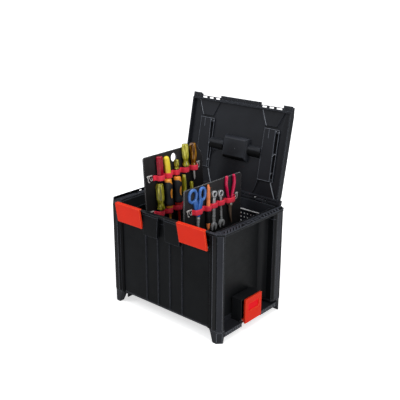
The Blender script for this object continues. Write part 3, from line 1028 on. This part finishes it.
# ------------------------------------------------------------------ case details
def perforated(x0, x1, z0, z1, pitch, r, y0, y1, border=5.0):
    """A sheet with a regular field of round studs."""
    nx, nz = int((x1 - x0 - 2 * border) / pitch), int((z1 - z0 - 2 * border) / pitch)
    ox, oz = (x0 + x1 - nx * pitch) / 2, (z0 + z1 - nz * pitch) / 2
    bm = bmesh.new()
    cache = {}

    def v(x, z):
        k = (round(x, 3), round(z, 3))
        if k not in cache:
            cache[k] = bm.verts.new((x, (y0 + y1) / 2, z))
        return cache[k]

    h = pitch / 2
    for i in range(nx):
        for j in range(nz):
            cx, cz = ox + (i + 0.5) * pitch, oz + (j + 0.5) * pitch
            sq = [(cx + h, cz), (cx + h, cz + h), (cx, cz + h), (cx - h, cz + h), (cx - h, cz), (cx - h, cz - h), (cx, cz - h), (cx + h, cz - h)]
            ci = [(cx + r * math.cos(k * math.pi / 4), cz + r * math.sin(k * math.pi / 4)) for k in range(8)]
            ce = [(cx + (r - 0.8) * math.cos(k * math.pi / 4), cz + (r - 0.8) * math.sin(k * math.pi / 4)) for k in range(8)]
            for k in range(8):
                k2 = (k + 1) % 8
                bm.faces.new((v(*sq[k]), v(*sq[k2]), v(*ci[k2]), v(*ci[k])))
                bm.faces.new((v(*ci[k]), v(*ci[k2]), v(*ce[k2]), v(*ce[k]))).material_index = 1
            bm.faces.new([v(*c) for c in ce]).material_index = 1
    xs, zs = [x0] + [ox + i * h for i in range(2 * nx + 1)] + [x1], [z0] + [oz + j * h for j in range(2 * nz + 1)] + [z1]
    for i in range(len(xs) - 1):
        for j in range(len(zs) - 1):
            if i in (0, len(xs) - 2) or j in (0, len(zs) - 2):
                bm.faces.new((v(xs[i], zs[j]), v(xs[i + 1], zs[j]), v(xs[i + 1], zs[j + 1]), v(xs[i], zs[j + 1])))
    bmesh.ops.recalc_face_normals(bm, faces=bm.faces)
    bmesh.ops.solidify(bm, geom=bm.faces[:], thickness=(y1 - y0) * 0.6)
    return bm


guide = plate([[(-4, 106), (-2.8, 106), (-2.8, 118), (2.8, 118), (2.8, 106), (4, 106), (4, 137.2), (7.5, 138.8), (-7.5, 138.8), (-4, 137.2)]], 46 - RIM, 250 - RIM, "XY", 0.3, 1)
finish_piece("guide_rear_right", guide, "plain_black", "case", "black_plastic", frame=F_RIGHT, stands=("board_guide_right_rear",))
flange = [plate([[(-136.6, 331.6), (-135.8, 341.0), (136, 341.0), (143.5, 333.6), (143.5, 331.6)], [(-27.5, 333.4), (-17, 333.4), (-17, 336.6), (-27.5, 336.6)]], -220.8, -218.8, "YZ", 0.4, 1)]
slope = plate([[(-11.9, 331.6), (11.4, 331.6), (11.4, 341.0), (-11.9, 333.4)]], -1.0, 1.0, "XZ", 0.4, 1)
flange.append(placed(slope, Matrix.Translation((-211.9, -144.4, 0)) @ Matrix.Rotation(math.radians(134), 4, "Z")))
finish_piece("side_flange_left", merge(*flange), "black_plastic", "case", "black_plastic")
lo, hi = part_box("rear_panel")
yl = (lo.y - Y0) * 1000, (hi.y - Y0) * 1000
finish_piece("rear_liner", perforated(-166, 166, 48, 295.5, 12.4, 2.5, yl[0] + 0.3, yl[1] - 0.1), ["liner_plastic", "liner_stud"], "case", "black_plastic", smooth=30, stands=("rear_panel",))
finish_piece("rear_apron_bead", block(-168, 133, 135.6, 138.6, 295.8, 299.2, 0.9, 2), "liner_stud", "case", "black_plastic")
finish_piece("rear_apron", block(-187, 187, 136.9, 138.4, 299.0, 332.8, 0.5, 2), "apron_plastic", "case", "black_plastic")


def strips():
    """Corner step and the thin beads that edge each facet of a front post."""
    out = []
    for x, y, r in ((190, -152.7, 0.6), (217.4, -140.1, 0.7)):
        out.append(painted(sweep([Vector((x, y, 44.0)), Vector((x, y, 180)), Vector((x, y, 325.6))], ellipse(r, r, 8), up=(1, 0, 0), domed=False), 1))
    out.append(painted(block(191.4, 202.8, -153.3, -152.2, 43, 326, 0.5, 2), 2))
    c = block(-7.2, 7.2, -0.7, 0.6, 43, 326, 0.5, 2)
    out.append(painted(placed(c, Matrix.Translation((211.7, -146.4, 0)) @ Matrix.Rotation(math.radians(45), 4, "Z")), 0))
    return merge(*out)


sym(strips, "front_post_facets", ["facet_plastic", "edge_plastic", "plain_black"], "case", "black_plastic")


sym(lambda: merge(block(170.6, 176.9, -149.2, -145, 38.9, 276, 0.7, 2), block(176.5, 180.5, -149.2, -145, 38.9, 281, 0.7, 2), block(180.2, 188.6, -153.1, -151.8, 43, 327, 0.4, 1)), "front_post_step", "shade_plastic", "case", "black_plastic")

# soft inner corner where the recessed side wall meets the rear post
sym(lambda: plate([[(172.7, 80), (173.5, 80), (174.6, 87), (177.0, 92.5), (181, 96.6), (187, 99.0), (194, 99.9), (194, 100.6), (172.7, 100.6)]], 46, 310, "XY", 0, 1), "side_wall_fillet", "housing_plastic", "case", "black_plastic")


def rear_strips():
    out = []
    for x, y, r in ((217.4, 114.9, 0.4), (217.4, 131, 0.5), (205.5, 151.9, 0.6)):
        out.append(painted(sweep([Vector((x, y, 44.0)), Vector((x, y, 180)), Vector((x, y, 325.6))], ellipse(r, r, 8), up=(1, 0, 0), domed=False), 1))
    out.append(painted(block(217.0, 218.1, 106.6, 114.2, 43, 326, 0.5, 2), 2))
    out.append(painted(block(217.0, 218.1, 115.6, 129.6, 43, 326, 0.5, 2), 0))
    out.append(painted(block(217.0, 218.1, 132.2, 139.6, 43, 326, 0.5, 2), 2))
    return merge(*out)


sym(rear_strips, "rear_post_facets", ["facet_plastic", "edge_plastic", "housing_plastic"], "case", "black_plastic")


def base_rungs():
    """Worn light edges of the slotted skirt under each side ledge."""
    out = []
    xo = 217.0
    for y0, y1, a0, a1 in ((-133.6, -48, -126, -52), (44, 136.6, 46, 117)):
        for x, z, r in ((xo - 0.3, 28.3, 0.4), (xo - 0.1, 17.6, 0.4)):
            out.append(sweep([Vector((x, y0 + 0.5, z)), Vector((x, (y0 + y1) / 2, z)), Vector((x, y1 - 0.5, z))], ellipse(r, r, 8), up=(1, 0, 0), domed=False))
        for k in range(9):
            y = a0 + (a1 - a0 - 6) * k / 8 + 0.1 * k
            out.append(painted(plate([[(y + 2.1, 18.3), (y + 6.5, 18.3), (y + 10.9, 27.6), (y + 6.5, 27.6)]], xo - 0.4, xo + 0.15, "YZ", 0.1, 1), 1))
            out.append(painted(plate([[(y + 2.1, 18.3), (y + 3.5, 18.3), (y + 7.9, 27.6), (y + 6.5, 27.6)]], xo - 0.4, xo + 0.4, "YZ", 0.1, 1), 2))
    return merge(*out)


sym(base_rungs, "base_skirt_edges", ["edge_plastic", "shade_plastic", "bright_edge"], "case", "black_plastic")


def hinge_rail():
    """A low rail on the rear rim that closes the joint under the open lid."""
    return merge(block(2, 104.5, 146.2, 154.0, 332.2, 338.0, 0.9, 2), block(151.5, 199, 146.2, 154.0, 332.2, 338.0, 0.9, 2))


sym(hinge_rail, "hinge_rail", "skirt_plastic", "case", "black_plastic")


def hinge_skirt():
    """The lid's own lip in front of its hinge line: full depth between the knuckles, cut back over them."""
    full = [(13.6, -9.4), (13.6, -8.0), (4.2, 2.4), (-1.6, 2.4), (-1.6, 0.6), (3.2, 0.6), (12.2, -9.4)]
    short = [(13.6, -9.4), (13.6, -8.0), (10.2, 1.2), (6.8, 1.2), (6.8, -0.6), (11.4, -9.4)]
    end = [(13.0, -9.2), (13.0, 2.3), (-1.5, 2.3), (-1.5, -9.2)]
    run = lambda pts, a, b: plate([pts], a, b, "YZ", 0.4, 2)
    cover = block(103.6, 152.4, -2.0, 13.2, -9.4, -8.2, 0.3, 1)
    return merge(run(full, 0, 104.2), run(short, 103.6, 152.4), run(full, 151.8, 187), run(end, 186.4, 199.4), cover)


sym(hinge_skirt, "lid_hinge_skirt", "skirt_plastic", "lid", "black_plastic")


def rim_details():
    """Ribs, pads and dark pockets on the front corner and side ledge of the rim."""
    out = []
    z = RIM
    out.append(sweep([Vector((x, y, z - 0.2)) for x, y in ((76, -153.7), (202.9, -153.7), (220.0, -136.8), (220.0, 0), (220.0, 136.8), (203, 153.6))], ellipse(0.8, 0.9, 8), up=(0, 0, 1), domed=False))
    for k in range(6):             # slanted ribs between the slanted pockets
        y = -133 + 13 * k
        out.append(painted(plate([[(216.8, y), (216.8, y + 5.8), (205.2, y + 20.8), (205.2, y + 15)]], z, z + 1.0, "XY", 0.2, 1), 1))
    for y in (-38, -3, 36):
        out.append(painted(block(205.2, 216.8, y - 2.4, y + 2.4, z - 0.4, z + 1.0, 0.3, 1), 1))
    for y0, y1 in ((-29, -12), (6, 27)):
        out.append(painted(block(208.8, 213.2, y0, y1, z - 0.4, z + 0.9, 0.3, 1), 1))
    for k in range(6):
        y = 46 + 14 * k
        out.append(painted(plate([[(216.8, y), (216.8, y + 5.2), (205.2, y + 13.2), (205.2, y + 8)]], z, z + 1.0, "XY", 0.2, 1), 1))
    out.append(block(199.6, 205.6, -133, 150, z - 0.4, z + 0.9, 0.4, 1))
    out.append(sweep([Vector((x, y, z + 0.6)) for x, y in ((197.6, -132), (198.0, 0), (200.2, 150))], ellipse(1.0, 0.9, 8), up=(0, 0, 1), domed=False))
    out.append(block(216.8, 218.0, -128, 146, z - 0.4, z + 0.7, 0.35, 1))
    return merge(*out)


def rim_dark():
    """A soft seal on the inner edge of the side rim and the shaded floor of its ribbed channel."""
    return merge(block(188.9, 197.4, -131, 137.5, RIM - 0.3, RIM + 0.15, 0.1, 1), block(188.9, 199.6, 137.0, 152.0, RIM - 0.3, RIM + 0.15, 0.1, 1), block(198.6, 216.9, -129, 148, RIM - 0.3, RIM + 0.2, 0.1, 1))


sym(rim_dark, "rim_seal", "shade_plastic", "case", "black_plastic")


sym(rim_details, "rim_ribs", ["facet_plastic", "rib_plastic"], "case", "black_plastic")


def corner_pads():
    """Raised lands around the small slots of the front corner."""
    z = RIM
    out = []
    for x0, x1, y0, y1 in ((150, 170, -151.6, -146), (178, 190, -151.6, -146), (196, 206, -148, -134)):
        for a in (block(x0, x1, y0, y0 + 1.2, z - 0.3, z + 0.8, 0.3, 1), block(x0, x1, y1 - 1.2, y1, z - 0.3, z + 0.8, 0.3, 1), block(x0, x0 + 1.2, y0 + 0.9, y1 - 0.9, z - 0.3, z + 0.8, 0.3, 1), block(x1 - 1.2, x1, y0 + 0.9, y1 - 0.9, z - 0.3, z + 0.8, 0.3, 1)):
            out.append(a)
    out.append(plate([[(178, -152.6), (202.4, -152.6), (218.8, -136.4), (218.8, -128.6), (190.4, -128.6), (190.4, -143.6), (178, -143.6)]], z - 0.3, z + 0.3, "XY", 0.2, 1))
    return merge(*out)


sym(corner_pads, "rim_corner_lands", "facet_plastic", "case", "black_plastic")


def foot_frame():
    """A raised outline on the corner facet of each front foot, and a seam bead above it."""
    out = []
    p, q = Vector((205.2, -150.9, 0)), Vector((217.4, -138.4, 0))
    n = Vector((0.72, -0.69, 0)) * 0.25
    pts = [(0.06, 3), (0.94, 3), (0.97, 6), (0.97, 30), (0.94, 33.4), (0.06, 33.4), (0.03, 30), (0.03, 6)]
    out.append(sweep([p.lerp(q, a) + n + Vector((0, 0, z)) for a, z in pts], ellipse(0.6, 0.7, 8), closed=True, up=(0.72, -0.69, 0.01)))
    out.append(sweep([Vector((x, y, 38.2)) for x, y in ((180, -151.0), (205, -151.4), (217.8, -138.4), (217.8, -133))], ellipse(0.8, 0.8, 8), up=(0, 0, 1), domed=False))
    return merge(*out)


sym(foot_frame, "front_foot_frame", "edge_plastic", "case", "black_plastic")


def rear_foot_frame():
    return merge(sweep([Vector((x, y, 38.2)) for x, y in ((180, 151.0), (205, 151.2), (217.8, 138.4), (217.8, 124))], ellipse(0.8, 0.8, 8), up=(0, 0, 1), domed=False))


sym(rear_foot_frame, "rear_foot_seam", "edge_plastic", "case", "black_plastic")


def inlay():
    return plate([[(-23.4, 58.1), (22.7, 58.1), (27.9, 63.3), (27.9, 81.4), (-23.4, 81.4)]], 217.6, 218.75, "YZ", 0.3, 2)


for side, nm in ((1, "right"), (-1, "left")):
    bm = inlay()
    if side < 0:
        mirrored(bm)
    finish_piece(f"lever_inlay_{nm}", bm, "recess_red", f"{nm}_lever", "red_orange_plastic", frame=F_CASE)
# ------------------------------------------------------------------ camera and light
cam = bpy.data.objects.new("camera", bpy.data.cameras.new("camera"))
bpy.context.scene.collection.objects.link(cam)
fwd = Vector((-0.61782, 0.71531, -0.32653)).normalized()
right = fwd.cross(Vector((0, 0, 1))).normalized()
up = right.cross(fwd)
roll = 0.0047
r = math.cos(roll) * right + math.sin(roll) * up
u = -math.sin(roll) * right + math.cos(roll) * up
cam.matrix_world = Matrix(((r.x, u.x, -fwd.x, 1.28970), (r.y, u.y, -fwd.y, -1.47903 + Y0), (r.z, u.z, -fwd.z, 1.02366), (0, 0, 0, 1)))
cam.data.sensor_width = 36.0
cam.data.lens = 62.14
cam.data.clip_end = 50
bpy.context.scene.camera = cam

floor = bpy.data.objects.new("floor", bpy.data.meshes.new("floor"))
bm = bmesh.new()
bmesh.ops.create_grid(bm, x_segments=2, y_segments=2, size=40.0)
bm.to_mesh(floor.data)
bm.free()
bpy.context.scene.collection.objects.link(floor)
fm, nt, b = new_mat("floor")
mp = coords(nt)
fn = node(nt, "ShaderNodeTexNoise", Scale=3.0, Detail=3.0)
link(nt, mp, "Vector", fn, "Vector")
link(nt, ramp(nt, [(0.3, (0.80, 0.80, 0.81)), (0.7, (0.83, 0.83, 0.83))]), "Color", b, "Base Color")
b.inputs["Roughness"].default_value = 0.7
b.inputs["Specular IOR Level"].default_value = 0.1
b.inputs["Emission Color"].default_value = (1, 1, 1, 1)
span = node(nt, "ShaderNodeVectorMath", operation="LENGTH")
link(nt, mp, "Vector", span, 0)
far = remap(nt, span, "Value", 0.45, 1.5, 0.62, 1.0)
lp = node(nt, "ShaderNodeLightPath")
pick = node(nt, "ShaderNodeMix", data_type="FLOAT")
link(nt, lp, "Is Camera Ray", pick, 0)
pick.inputs[2].default_value = 0.26
nt.links.new(far.outputs["Result"], pick.inputs[3])
nt.links.new(pick.outputs[0], b.inputs["Emission Strength"])
floor.data.materials.append(fm)

bpy.context.scene.view_settings.view_transform = "Standard"
bpy.context.scene.view_settings.look = "None"
world = bpy.data.worlds.new("world")
bpy.context.scene.world = world
world.use_nodes = True
nt = world.node_tree
bg = nt.nodes["Background"]
bg.inputs["Color"].default_value = (0.93, 0.96, 1.0, 1)
bg.inputs["Strength"].default_value = 0.36
seen = node(nt, "ShaderNodeBackground")
seen.inputs["Color"].default_value = (1, 1, 1, 1)
seen.inputs["Strength"].default_value = 1.0
lp = node(nt, "ShaderNodeLightPath")
mix = node(nt, "ShaderNodeMixShader")
nt.links.new(lp.outputs["Is Camera Ray"], mix.inputs[0])
nt.links.new(bg.outputs[0], mix.inputs[1])
nt.links.new(seen.outputs[0], mix.inputs[2])
nt.links.new(mix.outputs[0], nt.nodes["World Output"].inputs["Surface"])


def area(name, loc, target, size, power, tint=(1, 1, 1)):
    l = bpy.data.lights.new(name, "AREA")
    l.energy = power
    l.shape = "RECTANGLE"
    l.size, l.size_y = size
    l.color = tint
    o = bpy.data.objects.new(name, l)
    bpy.context.scene.collection.objects.link(o)
    o.location = loc
    o.rotation_euler = (Vector(target) - Vector(loc)).to_track_quat("-Z", "Y").to_euler()
    return o


area("key_left", (-1.3, -1.7, 1.9), (0, 0, 0.3), (1.0, 1.4), 26)
area("edge_right", (2.3, -0.5, 1.5), (0, 0, 0.25), (0.7, 1.8), 24, (1.0, 0.98, 0.95))
area("overhead", (0.2, 0.1, 2.4), (0, 0, 0.2), (1.6, 1.4), 24)
